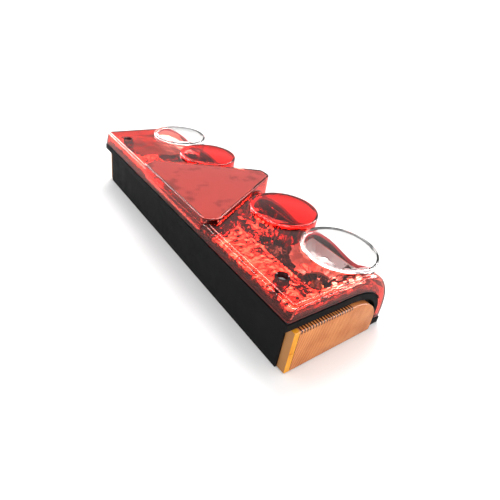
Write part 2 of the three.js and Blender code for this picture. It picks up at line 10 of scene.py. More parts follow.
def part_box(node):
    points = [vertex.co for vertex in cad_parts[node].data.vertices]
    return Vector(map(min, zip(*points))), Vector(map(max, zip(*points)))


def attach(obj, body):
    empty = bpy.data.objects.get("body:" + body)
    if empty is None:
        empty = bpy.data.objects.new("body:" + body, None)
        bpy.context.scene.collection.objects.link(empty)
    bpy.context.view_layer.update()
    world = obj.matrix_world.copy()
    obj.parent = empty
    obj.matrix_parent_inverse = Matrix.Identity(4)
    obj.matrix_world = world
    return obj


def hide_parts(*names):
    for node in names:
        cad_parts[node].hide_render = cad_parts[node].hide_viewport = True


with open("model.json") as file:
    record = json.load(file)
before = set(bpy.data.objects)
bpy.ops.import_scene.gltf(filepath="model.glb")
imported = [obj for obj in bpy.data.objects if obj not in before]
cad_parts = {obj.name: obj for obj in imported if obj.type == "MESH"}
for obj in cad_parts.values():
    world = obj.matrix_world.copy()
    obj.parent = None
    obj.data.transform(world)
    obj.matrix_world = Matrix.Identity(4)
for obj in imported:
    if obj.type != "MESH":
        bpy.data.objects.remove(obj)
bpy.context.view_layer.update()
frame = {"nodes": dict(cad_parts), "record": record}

MM = 0.001
GAP = 0.3  # clearance between pieces that touch


def span(node):
    """Lowest and highest corner of a CAD node, in millimetres."""
    low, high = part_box(node)
    return [v / MM for v in low], [v / MM for v in high]


# ---- driving dimensions, millimetres
(LEFT, NEAR, LOW_Z), (RIGHT, FAR, FRONT_Z) = span("lens")
PARTING_Z = NEAR + 126.5  # where the lens meets the flange on the lower side: 58 mm above the back
WALL = 2.6
DRAFT = 2.5
CHAMFER = 2.4
FILLET = 0.8
SHOULDER_Y = NEAR + 84
BULB_Y = NEAR + 88
FILAMENT_Z = 46.8
PLATE_Z = 64.0
SKIN = 1.6
DISH_Z = 33.0  # lowest point of the reflector's floor, which rises by radius squared over DISH_SPREAD
DISH_SPREAD = 217.0
DISH_HOLE_R = 13.8
TRAY_MID, TRAY_END = 12.0, 190.0
TRAY_NEAR, TRAY_FAR = NEAR + 37, NEAR + 118.5
TRAY_ROUND = 14.0
RIDGE = 16.0  # how far the floor rises towards the edge of each bulb's cell
WELL_X = 166.0
WELL_Y = NEAR + 20
WELL_FLOOR_Z = 66.2
TUBE_LOW_Z = 42  # lower end of the post under a well
WELL_R = 5.0
TUBE_R = 6.6
CAP_WALL = 2.4
LEDGE = 2.0  # how far the lens reaches in under each window
PLATE_INNER_X, PLATE_OUTER_X = 194.0, 203.5  # the amber end plates
PLATE_NEAR, PLATE_FAR = NEAR + 8, NEAR + 119
PLATE_LOW, PLATE_HIGH = 0.6, 46.5
STRIP_Y = PLATE_NEAR + 5.5  # where an end plate's smooth edge strip meets its prisms

CAPS = ("left_outer", "left_inner", "right_inner", "right_outer")
BULB_X = {"left_outer": -152.0, "left_inner": -79.0, "right_inner": 79.0, "right_outer": 152.0}
CELL_EDGE = (BULB_X["right_inner"] + BULB_X["right_outer"]) / 2  # ridge between a tray's two cells
PETALS = 12  # creased petals round each bulb
BRIGHT_PATCH_R = 32  # radius of a round patch in each outer dish painted near white: painted reflection of the bright studio
REFLECTOR_START, REFLECTOR_END = 0.5, 194.5  # a reflector plate, from the lamp's middle
END_FOIL_START, END_FOIL_END = 194.7, 195.9  # the wall that closes the reflector at the lamp's end
BEYOND = 300  # further out than any part of the lamp
CUT, ADD, KEEP = "DIFFERENCE", "UNION", "INTERSECT"

FACET_LEAN = 0.36  # how far the foil's facets lean
STROKE, STROKE_TURN, WARP = 0.42, 62, 9  # how the facets are drawn out, turned (degrees) and bent (mm)
FACET_SIZE = 2.4
REFLEX_PITCH = 2.2
AMBER_PITCH = 1.7
TOOTH_PITCH = 1.6  # of the toothed upper edge of an end plate's prisms
# Dark blades on the foil: painted reflection, flat dark shapes standing in for the dark side of the studio
# mirrored in the reflector's petals.
DARK_REFLECTION_COLOUR = (0.04, 0.014, 0.012)
BLADE_TAPER = 0.6  # share of a blade's length where it starts to narrow to its point
BLADES = (  # root and tip in x and distance from the lens's lower edge, then the half widths at both
    ((126, 30), (112, 37), 2, 4), ((82, 17), (62, 38), 2, 6), ((188, 27), (172, 38), 2, 6),
    ((94, 54), (34, 80), 3, 9), ((102, 56), (68, 84), 2, 6), ((109, 63), (80, 117), 3, 7),
    ((46, 52), (26, 72), 5, 8), ((130, 66), (113, 80), 4, 10), ((146, 60), (128, 74), 3, 8),
    ((156, 60), (133, 98), 3, 8),
)

WHITE, UNLIT, SPARKLE = 1.1, 0.05, 24.0  # brightness of the studio, its unlit side and the small lamps


# ---- curves and outlines
def cubic(a, b, c, d, t):
    s = 1 - t
    return tuple(
        s**3 * p + 3 * s * s * t * q + 3 * s * t * t * r + t**3 * w for p, q, r, w in zip(a, b, c, d)
    )


def quadratic(a, b, c, t):
    s = 1 - t
    return tuple(s * s * p + 2 * s * t * q + t * t * r for p, q, r in zip(a, b, c))


def filleted(a, corner, b, size, steps=3):
    """The corner of a polyline rounded off over size on both sides."""
    def toward(p):
        share = min(size / math.dist(corner, p), 0.5)
        return tuple(c + (q - c) * share for c, q in zip(corner, p))

    return [quadratic(toward(a), corner, toward(b), i / steps) for i in range(steps + 1)]


def lens_path(inset, curve_steps=30):
    """The lens's outer section in (y, z) moved in by inset, from the lower side round to the upper side."""
    top = FRONT_Z - inset
    near = NEAR + inset
    far = FAR - inset
    bevel = CHAMFER - inset * 0.4
    foot = (near, PARTING_Z)
    low = (near + DRAFT, top - bevel)
    high = (near + DRAFT + bevel, top)
    path = [foot] + filleted(foot, low, high, FILLET) + filleted(low, high, (NEAR + 44, top), FILLET)
    path.append((NEAR + 44, top))
    curve = ((SHOULDER_Y, top), (NEAR + 110, top), (far, 52 - inset / 2), (far, 15))
    path += [cubic(*curve, i / curve_steps) for i in range(curve_steps + 1)]
    return path


FRONT_PATH = lens_path(-GAP, 60)


def front_height(y):
    """Height of the lens's outer surface at y, with the gap that a piece standing on it keeps."""
    for (y0, z0), (y1, z1) in zip(FRONT_PATH, FRONT_PATH[1:]):
        if y0 <= y <= y1 and y1 > y0:
            return z0 + (z1 - z0) * (y - y0) / (y1 - y0)
    return FRONT_PATH[0][1] if y < FRONT_PATH[0][0] else FRONT_PATH[-1][1]


def under_parting(depth, steps=30):
    """Closed (y, z) outline of everything below the surface where lens and flange meet, lowered by depth."""
    far = NEAR + 127 - 0.6 * depth
    start = (NEAR + 78, 56.5 - depth)
    curve = (start, (NEAR + 104 - 0.2 * depth, 55.5 - depth), (far, 44 - 0.8 * depth), (far, 18))
    outline = [(NEAR - 10, -10), (NEAR - 10, PARTING_Z - depth)]
    outline += [cubic(*curve, i / steps) for i in range(steps + 1)]
    outline += [(far, 9 - depth), (NEAR + 150, 9 - depth), (NEAR + 150, -10)]
    return outline


def reflector_path(depth, steps=22):
    """The reflector's face in (y, z) lowered by depth, from its lower edge round to its upper edge."""
    top = PLATE_Z - depth
    near = NEAR + 5.6 + depth
    far = NEAR + 128.2 - depth
    flat = [(near + (NEAR + 80 - near) * i / 28, top) for i in range(28)]
    curve = ((NEAR + 80, top), (NEAR + 104, top), (far, 50), (far, 26))
    return [(near, 58.6)] + flat + [cubic(*curve, i / steps) for i in range(steps + 1)]


def rounded_plan(x0, x1, y0, y1, radius, steps=6):
    """A rectangle with round corners, as (x, y) points."""
    corners = [(x1, y0), (x1, y1), (x0, y1), (x0, y0)]
    out = []
    for i, corner in enumerate(corners):
        out += filleted(corners[i - 1], corner, corners[(i + 1) % 4], radius, steps)
    return out


# ---- mesh building
def faces_between(rows, count, closed_rows=False):
    """Quads between successive rings of count points each."""
    faces = []
    pairs = rows if closed_rows else rows - 1
    for r in range(pairs):
        a, b = r * count, ((r + 1) % rows) * count
        for i in range(count):
            j = (i + 1) % count
            faces.append((a + i, a + j, b + j, b + i))
    return faces


def loft(rings, closed_rows=False):
    """A closed solid through rings of points; both ends are capped unless the rings close on themselves."""
    count = len(rings[0])
    verts = [p for ring in rings for p in ring]
    faces = faces_between(len(rings), count, closed_rows)
    if not closed_rows:
        faces.append(tuple(reversed(range(count))))
        faces.append(tuple(range((len(rings) - 1) * count, len(rings) * count)))
    return verts, faces


def turned(profile, x, y, segments=96):
    """A solid of revolution about the upright line through (x, y), from (radius, z) points."""
    verts, rows = [], []
    for radius, z in profile:
        if radius < 1e-6:
            rows.append([len(verts)])
            verts.append((x, y, z))
            continue
        rows.append(list(range(len(verts), len(verts) + segments)))
        for i in range(segments):
            a = 2 * math.pi * i / segments
            verts.append((x + radius * math.cos(a), y + radius * math.sin(a), z))
    faces = []
    closing = [] if len(rows[0]) == 1 else [(rows[-1], rows[0])]
    for a, b in list(zip(rows, rows[1:])) + closing:
        for i in range(segments):
            j = (i + 1) % segments
            if len(a) == 1 and len(b) == 1:
                continue
            if len(a) == 1:
                faces.append((a[0], b[j], b[i]))
            elif len(b) == 1:
                faces.append((a[i], a[j], b[0]))
            else:
                faces.append((a[i], a[j], b[j], b[i]))
    return verts, faces


def rod(radius, low, high, x, y, segments):
    """An upright cylinder."""
    return turned([(0, low), (radius, low), (radius, high), (0, high)], x, y, segments)


def angles(count):
    return [2 * math.pi * k / count for k in range(count)]


def mirrored(side, start, end):
    """Lowest and highest x of a stretch from start to end on the side's half of the lamp."""
    return sorted((side * start, side * end))


def joined(*solids):
    verts, faces = [], []
    for some_verts, some_faces in solids:
        start = len(verts)
        verts += some_verts
        faces += [tuple(start + i for i in face) for face in some_faces]
    return verts, faces


def box_solid(x0, x1, y0, y1, z0, z1):
    return loft([[(x0, y0, z), (x1, y0, z), (x1, y1, z), (x0, y1, z)] for z in (z0, z1)])


def prism_x(outline, x0, x1):
    return loft([[(x, y, z) for y, z in outline] for x in (x0, x1)])


def mesh_object(name, solid):
    verts, faces = solid
    mesh = bpy.data.meshes.new(name)
    mesh.from_pydata([Vector(v) * MM for v in verts], [], faces)
    mesh.validate()
    obj = bpy.data.objects.new(name, mesh)
    bpy.context.scene.collection.objects.link(obj)
    outward(obj)
    return obj


def outward(obj):
    """Turns every face of a closed mesh to point outwards."""
    work = bmesh.new()
    work.from_mesh(obj.data)
    bmesh.ops.recalc_face_normals(work, faces=work.faces)
    work.to_mesh(obj.data)
    work.free()


def carve(obj, steps):
    """Applies boolean steps, each an operation and a solid, to a mesh object."""
    tools = []
    for number, (operation, solid) in enumerate(steps):
        tool = mesh_object(f"tool_{number}", solid)
        tools.append(tool)
        cut = obj.modifiers.new(f"cut_{number}", "BOOLEAN")
        cut.operation, cut.object, cut.solver = operation, tool, "EXACT"
    graph = bpy.context.evaluated_depsgraph_get()
    carved = bpy.data.meshes.new_from_object(obj.evaluated_get(graph))
    obj.modifiers.clear()
    obj.data = carved
    for tool in tools:
        bpy.data.objects.remove(tool, do_unlink=True)
    return obj


def finish_piece(obj, body, material, replaced=(), sharp_deg=30, smooth=True):
    """Gives a piece its material and shading, hangs it on its body, and hides the CAD nodes it stands for."""
    obj.data.materials.clear()
    obj.data.materials.append(material)
    if smooth:
        obj.data.shade_smooth()
        obj.data.set_sharp_from_angle(angle=math.radians(sharp_deg))
    else:
        obj.data.shade_flat()
    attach(obj, body)
    if replaced:
        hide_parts(*replaced)


# ---- materials
def new_material(name):
    material = bpy.data.materials.new(name)
    material.use_nodes = True
    tree = material.node_tree
    return material, tree, tree.nodes["Principled BSDF"]


def link_range(tree, source, start, end, low, high, socket=None):
    """A number that runs smoothly from low to high as source runs from start to end."""
    spread = tree.nodes.new("ShaderNodeMapRange")
    spread.interpolation_type = "SMOOTHSTEP"
    for name, value in (("From Min", start), ("From Max", end), ("To Min", low), ("To Max", high)):
        spread.inputs[name].default_value = value
    tree.links.new(source, spread.inputs["Value"])
    if socket:
        tree.links.new(spread.outputs["Result"], socket)
    return spread.outputs["Result"]


def link_math(tree, operation, *values):
    node = tree.nodes.new("ShaderNodeMath")
    node.operation = operation
    for socket, value in zip(node.inputs, values):
        if isinstance(value, (int, float)):
            socket.default_value = value
        else:
            tree.links.new(value, socket)
    return node.outputs[0]


def link_product(tree, first, *others):
    for value in others:
        first = link_math(tree, "MULTIPLY", first, value)
    return first


def link_vector(tree, operation, *values):
    """The result of a vector operation; a number stands for the same value on all three axes."""
    node = tree.nodes.new("ShaderNodeVectorMath")
    node.operation = operation
    for socket, value in zip(node.inputs, values):
        if isinstance(value, (int, float)):
            socket.default_value = (value,) * 3
        else:
            tree.links.new(value, socket)
    return node.outputs["Vector"]


def link_ramp(tree, source, stops, socket=None):
    """A colour from (position, colour) stops."""
    ramp = tree.nodes.new("ShaderNodeValToRGB").color_ramp
    node = tree.nodes[-1]
    while len(ramp.elements) < len(stops):
        ramp.elements.new(0.5)
    for element, (position, colour) in zip(ramp.elements, stops):
        element.position = position
        element.color = (*colour, 1)
    tree.links.new(source, node.inputs["Fac"])
    if socket:
        tree.links.new(node.outputs["Color"], socket)
    return node.outputs["Color"]


def link_mix(tree, share, first, second, socket=None):
    """One of two colours, or a blend of them."""
    mix = tree.nodes.new("ShaderNodeMix")
    mix.data_type = "RGBA"
    tree.links.new(share, mix.inputs["Factor"])
    for entry, value in (("A", first), ("B", second)):
        target = [i for i in mix.inputs if i.name == entry and i.type == "RGBA"][0]
        if isinstance(value, tuple):
            target.default_value = (*value, 1)
        else:
            tree.links.new(value, target)
    out = [o for o in mix.outputs if o.type == "RGBA"][0]
    if socket:
        tree.links.new(out, socket)
    return out


def object_place(tree):
    return tree.nodes.new("ShaderNodeTexCoord").outputs["Object"]


def surface_normal(tree):
    return tree.nodes.new("ShaderNodeNewGeometry").outputs["Normal"]


def parts_of(tree, vector):
    """The three numbers of a vector."""
    split = tree.nodes.new("ShaderNodeSeparateXYZ")
    tree.links.new(vector, split.inputs["Vector"])
    return split.outputs


def add_noise(tree, place, scale, detail=2.0):
    noise = tree.nodes.new("ShaderNodeTexNoise")
    noise.inputs["Scale"].default_value = scale
    noise.inputs["Detail"].default_value = detail
    tree.links.new(place, noise.inputs["Vector"])
    return noise.outputs


def link_noise(tree, scale, low, high, socket):
    """Drives a number socket between low and high by object-space noise, and gives the noise."""
    noise = add_noise(tree, object_place(tree), scale, 4.0)["Fac"]
    link_range(tree, noise, 0.3, 0.7, low, high, socket)
    return noise


def link_bump(tree, shader, height, strength, distance):
    bump = tree.nodes.new("ShaderNodeBump")
    bump.inputs["Strength"].default_value = strength
    bump.inputs["Distance"].default_value = distance
    tree.links.new(height, bump.inputs["Height"])
    tree.links.new(bump.outputs["Normal"], shader.inputs["Normal"])


def mix_surface(tree, share, first, second):
    """Makes the material a mix of two shader nodes."""
    mix = tree.nodes.new("ShaderNodeMixShader")
    for socket, source in zip(mix.inputs, (share, first.outputs["BSDF"], second.outputs["BSDF"])):
        tree.links.new(source, socket)
    tree.links.new(mix.outputs["Shader"], tree.nodes["Material Output"].inputs["Surface"])


def clear_material(name, tint, shadow_tint, roughness=0.02, wobble=0.02, ior=1.49):
    """Polished transparent plastic or glass.

    Shadow rays pass straight through it, tinted, so that what is inside is lit.
    """
    material, tree, shader = new_material(name)
    shader.inputs["Base Color"].default_value = (*tint, 1)
    shader.inputs["Transmission Weight"].default_value = 1.0
    shader.inputs["IOR"].default_value = ior
    ripple = link_noise(tree, 60, roughness * 0.5, roughness * 1.5, shader.inputs["Roughness"])
    link_bump(tree, shader, ripple, wobble, 0.0005)
    open_way = tree.nodes.new("ShaderNodeBsdfTransparent")
    open_way.inputs["Color"].default_value = (*shadow_tint, 1)
    shadow = tree.nodes.new("ShaderNodeLightPath").outputs["Is Shadow Ray"]
    mix_surface(tree, shadow, shader, open_way)
    return material


def plain_material(name, colour, roughness, metallic=0.0, grain=600.0, bump=0.1, specular=0.5, mottling=0.1):
    """An opaque surface with uneven roughness, slight colour change and a fine moulded or rolled grain."""
    material, tree, shader = new_material(name)
    shader.inputs["Metallic"].default_value = metallic
    shader.inputs["Specular IOR Level"].default_value = specular
    link_noise(tree, 45, roughness * 0.8, min(roughness * 1.25, 1), shader.inputs["Roughness"])
    place = object_place(tree)
    dark, light = [[min(c * (1 + change), 1) for c in colour] for change in (-mottling, mottling)]
    patches = add_noise(tree, place, 14, 6)["Fac"]
    link_ramp(tree, patches, [(0.35, dark), (0.65, light)], shader.inputs["Base Color"])
    link_bump(tree, shader, add_noise(tree, place, grain)["Fac"], bump, 0.0002)
    return material


def link_prisms(tree, first, second, pitch):
    """Height from 0 to 1 of a field of tiny prisms in diamond rows, over two of the object's coordinates."""
    waves = []
    for slope in (0.577, -0.577):
        lean = link_math(tree, "MULTIPLY_ADD", first, slope, second)
        waves.append(link_math(tree, "PINGPONG", lean, pitch * MM / 2))
    return link_math(tree, "DIVIDE", link_math(tree, "ADD", *waves), pitch * MM)


def reflex_material(name, dark, light):
    """Reflex optics seen from the front: rows of tiny prisms painted lighter and darker (painted light on the
    prisms), with faint clouds of painted reflection over them.
    """
    material, tree, shader = new_material(name)
    place = object_place(tree)
    x, y, _ = parts_of(tree, place)
    prisms = link_prisms(tree, x, y, REFLEX_PITCH)
    # Faint clouds of painted reflection.
    painted_reflection_clouds = link_range(tree, add_noise(tree, place, 30, 3)["Fac"], 0.32, 0.55, 0.0, 0.7)
    shade = link_math(tree, "MULTIPLY_ADD", prisms, 0.3, painted_reflection_clouds)
    link_ramp(tree, shade, [(0.0, dark), (0.6, light)], shader.inputs["Base Color"])
    shader.inputs["Roughness"].default_value = 0.25
    link_bump(tree, shader, prisms, 0.4, 0.0003)
    return material


def amber_plate_material():
    """Amber plastic: copper-coloured prisms painted lighter and darker (painted light on the prisms), with a
    toothed upper edge, a smooth strip painted bright (painted light coming through it) and sides painted
    darker brown (painted shade).
    """
    material, tree, shader = new_material("amber_plate")
    place = object_place(tree)
    _, y, z = parts_of(tree, place)
    # The copper field runs lighter and darker with the prisms' height: painted light on the prisms, with
    # random tone from noise.
    prisms = link_prisms(tree, z, y, AMBER_PITCH)
    noise = add_noise(tree, place, 60, 5)["Fac"]
    shade = link_math(tree, "MULTIPLY_ADD", prisms, 0.65, link_product(tree, noise, 0.5))
    copper = [(0.25, (0.32, 0.088, 0.02)), (0.55, (0.62, 0.195, 0.055)), (0.85, (0.82, 0.35, 0.11))]
    field = link_ramp(tree, shade, copper)
    comb = link_math(tree, "PINGPONG", y, TOOTH_PITCH * MM)
    teeth = link_product(
        tree,
        link_range(tree, comb, 0.7 * MM, 0.9 * MM, 0.0, 1.0),
        link_range(tree, z, (PLATE_HIGH - 3.4) * MM, (PLATE_HIGH - 3.2) * MM, 0.0, 1.0),
        link_range(tree, y, (NEAR + 76) * MM, (NEAR + 80) * MM, 1.0, 0.0),
    )
    toothed = link_mix(tree, teeth, field, (0.045, 0.014, 0.005))
    # Bright orange for the smooth strip: painted light, standing in for light coming through the clear strip.
    strip_painted_light = link_ramp(tree, noise, [(0.35, (0.75, 0.28, 0.015)), (0.65, (1.0, 0.46, 0.04))])
    strip = link_range(tree, y, (STRIP_Y - 0.3) * MM, STRIP_Y * MM, 1.0, 0.0)
    front = link_mix(tree, strip, toothed, strip_painted_light)
    # Faces turned neither along x nor upwards are painted darker brown: painted shade on the plate's sides.
    outward_x, _, outward_z = parts_of(tree, surface_normal(tree))
    side = link_product(
        tree,
        link_range(tree, link_math(tree, "ABSOLUTE", outward_x), 0.2, 0.4, 1.0, 0.0),
        link_range(tree, outward_z, 0.4, 0.6, 1.0, 0.0),
    )
    link_mix(tree, side, front, (0.36, 0.16, 0.05), shader.inputs["Base Color"])
    link_noise(tree, 200, 0.12, 0.25, shader.inputs["Roughness"])
    link_bump(tree, shader, prisms, 0.25, 0.0003)
    return material


def link_blade(tree, x, y, root, tip, root_half, tip_half):
    """1 inside a tapered blade from root to tip in the plan, 0 outside it; half widths in millimetres."""
    across, along = [(b - a) * MM for a, b in zip(root, tip)]
    length = math.hypot(across, along)
    ux, uy = across / length, along / length
    dx = link_math(tree, "SUBTRACT", x, root[0] * MM)
    dy = link_math(tree, "SUBTRACT", y, (NEAR + root[1]) * MM)
    run = link_math(tree, "MULTIPLY_ADD", dx, ux, link_product(tree, dy, uy))
    aside = link_math(tree, "MULTIPLY_ADD", dx, -uy, link_product(tree, dy, ux))
    half = link_product(
        tree,
        link_range(tree, run, 0.0, length * BLADE_TAPER, root_half * MM, tip_half * MM),
        link_range(tree, run, length * BLADE_TAPER, length, 1.0, 0.1),
    )
    margin = link_math(tree, "SUBTRACT", half, link_math(tree, "ABSOLUTE", aside))
    return link_product(
        tree,
        link_range(tree, margin, 0.0, MM, 0.0, 1.0),
        link_math(tree, "GREATER_THAN", run, 0.0),
        link_math(tree, "LESS_THAN", run, length),
    )


def foil_material(name):
    """Metallised plastic in small facets, each leaning its own way, with a tone painted on each facet for the
    dark or bright it mirrors (painted reflection), and dark blades of painted reflection.
    """
    material, tree, shader = new_material(name)
    place = object_place(tree)
    x, y, _ = parts_of(tree, place)
    bent = link_vector(tree, "MULTIPLY_ADD", add_noise(tree, place, 70)["Color"], WARP * MM, place)
    stretched = tree.nodes.new("ShaderNodeMapping")
    stretched.inputs["Rotation"].default_value = (0, 0, math.radians(STROKE_TURN))
    stretched.inputs["Scale"].default_value = (1, STROKE, STROKE)
    tree.links.new(bent, stretched.inputs["Vector"])
    cells = tree.nodes.new("ShaderNodeTexVoronoi")
    edges = tree.nodes.new("ShaderNodeTexVoronoi")
    edges.feature = "DISTANCE_TO_EDGE"
    for pattern in (cells, edges):
        pattern.inputs["Scale"].default_value = 1 / (FACET_SIZE * MM)
        tree.links.new(stretched.outputs["Vector"], pattern.inputs["Vector"])
    split = tree.nodes.new("ShaderNodeSeparateColor")
    tree.links.new(cells.outputs["Color"], split.inputs["Color"])
    # Each facet's tone is painted reflection: from near black to near white, standing in for the dark or
    # bright studio that the facet mirrors.
    shade = link_range(tree, split.outputs[2], 0.1, 0.95, 0.05, 0.7)
    stops = [(0.0, (0.035, 0.018, 0.014)), (0.3, (0.3, 0.26, 0.25)), (1.0, (0.96, 0.94, 0.92))]
    link_ramp(tree, shade, stops, shader.inputs["Base Color"])
    shader.inputs["Metallic"].default_value = 1.0
    link_noise(tree, 120, 0.05, 0.12, shader.inputs["Roughness"])
    lean = link_vector(tree, "MULTIPLY_ADD", cells.outputs["Color"], FACET_LEAN, -FACET_LEAN / 2)
    leaning = link_vector(tree, "NORMALIZE", link_vector(tree, "ADD", surface_normal(tree), lean))
    tree.links.new(leaning, shader.inputs["Normal"])
    lines = link_range(tree, edges.outputs["Distance"], 0.03, 0.12, 0.6, 1.0)
    dark = 0.0
    for blade in BLADES:
        dark = link_math(tree, "MAXIMUM", link_product(tree, link_blade(tree, x, y, *blade), lines), dark)
    # Dark diffuse blades of painted reflection over the metal.
    dark_reflection_matt = tree.nodes.new("ShaderNodeBsdfDiffuse")
    dark_reflection_matt.inputs["Color"].default_value = (*DARK_REFLECTION_COLOUR, 1)
    mix_surface(tree, dark, shader, dark_reflection_matt)
    return material


RED = clear_material("red_lens", (0.9, 0.15, 0.11), (0.6, 0.3, 0.28), wobble=0.004)
RED_CAP = clear_material("red_cap", (0.98, 0.07, 0.06), (0.6, 0.3, 0.28), wobble=0.006)
# Opaque bright red for the walls of the window holes: painted light, standing in for light carried through the
# edge of the red plastic.
RED_EDGE_PAINTED_LIGHT = plain_material("red_cut_edge_painted_light", (0.85, 0.02, 0.04), 0.3, bump=0.05)
# Near-black red for the lens's underside where it meets the flange and for the walls of the screw wells:
# painted shade in the gap and the recesses.
RED_PAINTED_SHADE = plain_material("red_painted_shade", (0.06, 0.003, 0.004), 0.5, bump=0.05)
CLEAR = clear_material("clear_lens", (0.985, 0.985, 0.98), (0.97, 0.97, 0.97), roughness=0.01, wobble=0.004)
GLASS = clear_material(
    "bulb_glass", (0.99, 0.99, 0.99), (0.97, 0.97, 0.97), roughness=0.01, wobble=0.01, ior=1.3
)
AMBER_PLATE = amber_plate_material()
RED_REFLEX = reflex_material("red_reflex", (0.05, 0.016, 0.018), (0.15, 0.05, 0.055))
RED_UNDERSIDE = reflex_material("red_underside", (0.24, 0.2, 0.23), (0.62, 0.4, 0.43))
FOIL = foil_material("foil")
# Flat grey for the smooth patch of the left reflector: painted reflection, standing in for the dim part of the
# studio that the smooth foil mirrors.
DIM_REFLECTION_GREY = plain_material("smooth_foil_painted_reflection", (0.1, 0.1, 0.12), 0.45, grain=400, specular=0.2)
# Near-white, partly diffuse foil for a round patch in each outer dish: painted reflection, standing in for the
# white that the foil mirrors under the clear windows.
BRIGHT_PAINTED_DISH = plain_material("dish_painted_bright_reflection", (0.9, 0.9, 0.9), 0.3, metallic=0.45, grain=150, bump=0.5)
BLACK = plain_material("black_housing", (0.0065, 0.0065, 0.0067), 0.55, grain=900, bump=0.15, specular=0.06)
RUBBER = plain_material("rubber", (0.01, 0.01, 0.01), 0.75, grain=500, bump=0.3, specular=0.3)
BRASS = plain_material("brass", (0.62, 0.48, 0.22), 0.3, metallic=1.0, grain=300, bump=0.08, mottling=0.2)
STEEL = plain_material("zinc_steel", (0.8, 0.81, 0.82), 0.3, metallic=0.7, grain=250, bump=0.06)


# ---- lens
def lens_block(inset):
    """The lens's outer form moved in by inset, with bevelled ends, as a closed solid down to z = 0."""
    bevel = CHAMFER - inset * 0.4
    end = RIGHT - inset
    low, high = (end, bevel), (end - bevel, 0.0)
    profile = filleted((end, bevel + 10), low, high, FILLET)[1:] + filleted(low, high, (0, 0), FILLET)
    profile = [(end, bevel + FILLET)] + profile
    stations = [(-x, d) for x, d in profile] + profile[::-1]
    rings = []
    for x, d in stations:
        path = lens_path(inset + d)
        rings.append([(x, y, z) for y, z in [(path[0][0], 0.0)] + path + [(path[-1][0], 0.0)]])
    return loft(rings)


def make_lens():
    lens = mesh_object("lens_body", lens_block(0))
    well_places = [(side * WELL_X, WELL_Y) for side in (-1, 1)]
    around = [(CUT, rod(TUBE_R + 0.1, 20, 80, *at, 48)) for at in well_places]
    below = carved_solid(prism_x(under_parting(0), -BEYOND, BEYOND), around)
    steps = [(CUT, lens_block(WALL))]
    steps += [(ADD, rod(TUBE_R, TUBE_LOW_Z, FRONT_Z - 1, *at, 48)) for at in well_places]
    steps.append((CUT, below))
    for at in well_places:
        mouth = [(WELL_R, FRONT_Z - 0.5), (WELL_R + 0.6, FRONT_Z + 0.1), (WELL_R + 0.6, 90), (0, 90)]
        core = [(0, 30), (3.6, 30), (3.6, 63), (2.4, 63), (2.4, 70), (0, 70)]
        steps.append((CUT, turned([(0, WELL_FLOOR_Z), (WELL_R, WELL_FLOOR_Z)] + mouth, *at, 48)))
        steps.append((CUT, turned(core, *at, 32)))
    holes = []
    for name in CAPS:
        x, y, radius = cap_place(name)
        hole_radius = radius - CAP_WALL - LEDGE
        holes.append((x, y, hole_radius))
        steps.append((CUT, rod(hole_radius, 5, 90, x, y, 128)))
    carve(lens, steps)
    finish_piece(lens, "lens_cover", RED, ["lens"])
    lens.data.materials.append(RED_EDGE_PAINTED_LIGHT)
    lens.data.materials.append(RED_PAINTED_SHADE)
    for face in lens.data.polygons:
        at = face.center / MM
        upright = abs(face.normal.z) < 0.5
        on_hole = any(abs(math.hypot(at.x - x, at.y - y) - r) < 0.1 for x, y, r in holes)
        from_well = math.hypot(abs(at.x) - WELL_X, at.y - WELL_Y)
        in_well = abs(from_well - WELL_R) < 0.1 and at.z > WELL_FLOOR_Z
        under = face.normal.z < -0.5 and at.z < PARTING_Z + 0.5 and from_well > 8
        # Window-hole walls get the painted light of the plastic's lit edge.
        if on_hole and upright and at.z > 40:
            face.material_index = 1
        # Underside at the flange and the well walls get the painted shade.
        elif under or (in_well and upright):
            face.material_index = 2


def cap_place(name):
    (x0, y0, _), (x1, y1, _) = span(f"lens_cap_{name}")
    return (x0 + x1) / 2, (y0 + y1) / 2, (y1 - y0) / 2


def make_cap(name, material):
    """A round window: crowned top, rounded rim and a skirt cut to the curve of the lens it stands on."""
    x, y, radius = cap_place(name)
    crown_z = span(f"lens_cap_{name}")[1][2]
    rise, round_off, segments = 3.5, 1.4, 128
    rim_z = crown_z - rise
    inner = radius - CAP_WALL
    low_z = rim_z - CAP_WALL

    def crown(r, low):
        return low + rise * (1 - (r / radius) ** 2)

    profile = []
    for i in range(7):
        a = math.pi / 2 * i / 6
        profile.append((radius - round_off * (1 - math.cos(a)), rim_z - round_off * (1 - math.sin(a))))
    profile += [(radius * k / 12, crown(radius * k / 12, rim_z)) for k in range(11, 0, -1)]
    under = [(inner * k / 12, crown(inner * k / 12, low_z) - 0.3) for k in range(1, 12)]
    under += [(inner - 0.2, low_z - 0.4), (inner, low_z - 1.4)]
    verts = []

    def ring(r, height):
        """Adds a ring at a height, or standing on the lens, and gives its vertex numbers."""
        start = len(verts)
        for a in angles(segments):
            py = y + r * math.sin(a)
            verts.append((x + r * math.cos(a), py, front_height(py) if height is None else height))
        return range(start, len(verts))

    def bands(rings):
        return [
            (a[i], a[(i + 1) % segments], b[(i + 1) % segments], b[i])
            for a, b in zip(rings, rings[1:]) for i in range(segments)
        ]

    outside = [ring(radius, None)] + [ring(r, z) for r, z in profile]
    top, bottom = len(verts), len(verts) + 1
    verts += [(x, y, crown_z), (x, y, crown_z - CAP_WALL - 0.3)]
    inside = [ring(r, z) for r, z in under] + [ring(inner, None)]
    last, first = outside[-1], inside[0]
    faces = bands(outside) + bands(inside)
    faces += [(last[i], last[(i + 1) % segments], top) for i in range(segments)]
    faces += [(bottom, first[(i + 1) % segments], first[i]) for i in range(segments)]
    faces += bands([inside[-1], outside[0]])
    cap = mesh_object(f"window_{name}", (verts, faces))
    finish_piece(cap, "lens_cover", material, [f"lens_cap_{name}"], sharp_deg=50)


